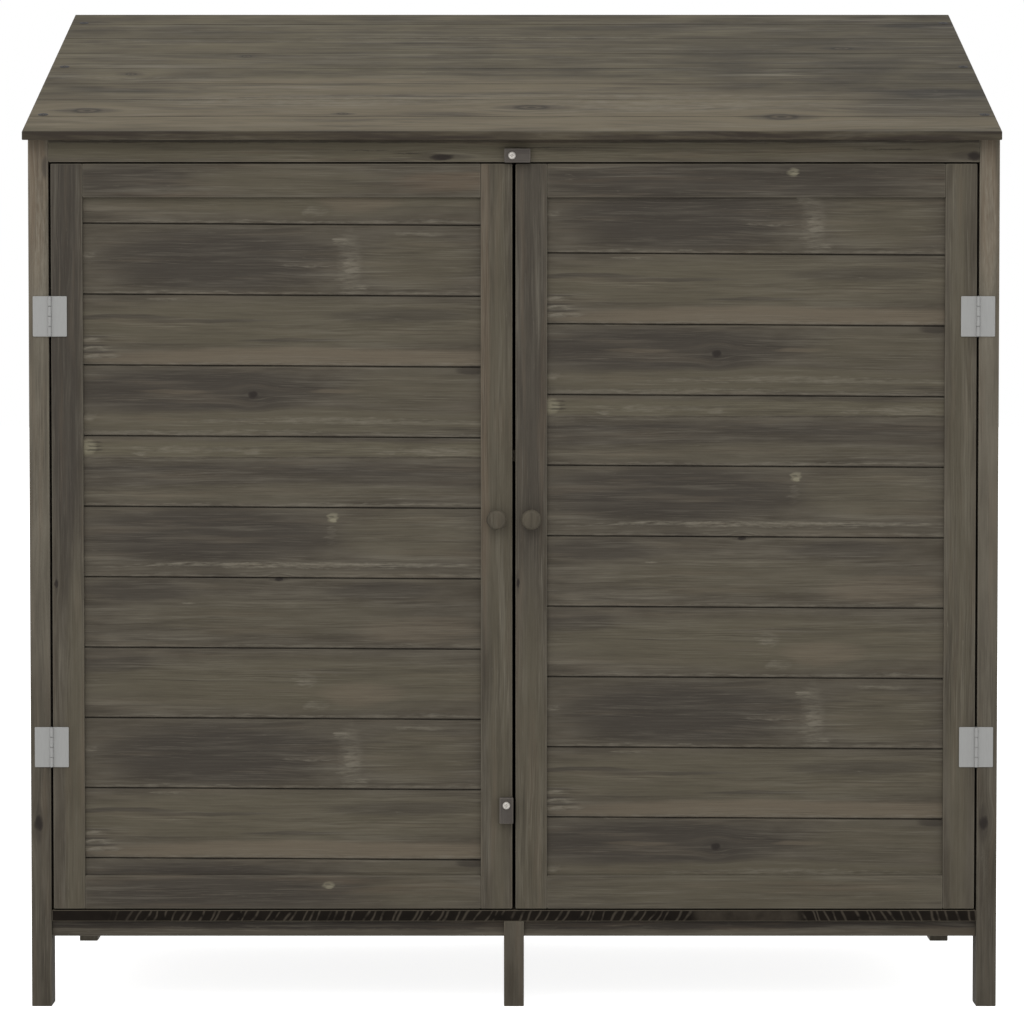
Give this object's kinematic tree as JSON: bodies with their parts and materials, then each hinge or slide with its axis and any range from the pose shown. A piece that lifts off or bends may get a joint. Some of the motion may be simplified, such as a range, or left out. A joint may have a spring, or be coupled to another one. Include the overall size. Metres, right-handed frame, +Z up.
{
  "type": "storage shed",
  "caption": "Small wooden garden storage shed on legs, with a board roof sloping to the front, hinged boarded doors, round knobs and wooden turn buttons.",
  "frame": {"origin": "on the ground, under the middle of the roof", "axes": "+Z up, +X to the right and +Y to the back, seen from the front where the doors are"},
  "size_m": [1.015, 0.515, 1.077],
  "materials": {
    "frame_wood": "weathered stain, matt",
    "board_wood": "weathered stain, matt",
    "roof_wood": "weathered stain, matt",
    "sawn_wood": "rough sawn, stained",
    "inner_wood": "planed, stained",
    "fitting_wood": "turned or sanded, stained",
    "zinc_plate": "zinc plated, satin",
    "bright_screw": "zinc plated",
    "dark_screw": "dark coated"
  },
  "bodies": {
    "carcass": {"back_boards": "board_wood", "floor_bearers": "inner_wood", "floor_boards": "sawn_wood", "front_bottom_rail": "frame_wood", "front_centre_foot": "frame_wood", "front_left_post": "frame_wood", "front_right_post": "frame_wood", "front_top_rail": "frame_wood", "left_bottom_rail": "frame_wood", "left_hinge_pins": "zinc_plate", "left_post_leaf_screws": "zinc_plate", "left_side_boards": "board_wood", "left_top_rail": "frame_wood", "lower_left_post_leaf": "zinc_plate", "lower_right_post_leaf": "zinc_plate", "rear_bottom_rail": "frame_wood", "rear_centre_foot": "frame_wood", "rear_left_post": "frame_wood", "rear_right_post": "frame_wood", "rear_top_rail": "frame_wood", "right_bottom_rail": "frame_wood", "right_hinge_pins": "zinc_plate", "right_post_leaf_screws": "zinc_plate", "right_side_boards": "board_wood", "right_top_rail": "frame_wood", "roof_boards": "roof_wood", "roof_rafter": "inner_wood", "roof_screws": "dark_screw", "shelf_battens": "inner_wood", "shelf_boards": "inner_wood", "top_button_screw": "bright_screw", "upper_left_post_leaf": "zinc_plate", "upper_right_post_leaf": "zinc_plate"},
    "left_door": {"left_door_boards": "board_wood", "left_door_bottom_rail": "frame_wood", "left_door_hinge_stile": "frame_wood", "left_door_leaf_screws": "zinc_plate", "left_door_lock_stile": "frame_wood", "left_door_top_rail": "frame_wood", "left_knob": "fitting_wood", "left_knob_screw": "bright_screw", "lower_button_screw": "bright_screw", "lower_left_door_leaf": "zinc_plate", "upper_left_door_leaf": "zinc_plate"},
    "right_door": {"lower_right_door_leaf": "zinc_plate", "right_door_boards": "board_wood", "right_door_bottom_rail": "frame_wood", "right_door_hinge_stile": "frame_wood", "right_door_leaf_screws": "zinc_plate", "right_door_lock_stile": "frame_wood", "right_door_top_rail": "frame_wood", "right_knob": "fitting_wood", "right_knob_screw": "bright_screw", "upper_right_door_leaf": "zinc_plate"},
    "top_button": {"top_button": "fitting_wood"},
    "lower_button": {"lower_button": "fitting_wood"}
  },
  "joints": [
    {"name": "left_door_swing", "type": "hinge", "parent": "carcass", "child": "left_door", "pos_m": [-0.4813, -0.2415, 0.498], "axis": [0, 0, -1], "range_deg": [0, 170]},
    {"name": "right_door_swing", "type": "hinge", "parent": "carcass", "child": "right_door", "pos_m": [0.4853, -0.2415, 0.498], "axis": [0, 0, 1], "range_deg": [0, 170]},
    {"name": "top_button_turn", "type": "hinge", "parent": "carcass", "child": "top_button", "pos_m": [0, -0.244, 0.8896], "axis": [0, 1, 0], "range_deg": [0, 180]},
    {"name": "lower_button_turn", "type": "hinge", "parent": "left_door", "child": "lower_button", "pos_m": [-0.0059, -0.244, 0.21245], "axis": [0, -1, 0], "continuous": true}
  ]
}
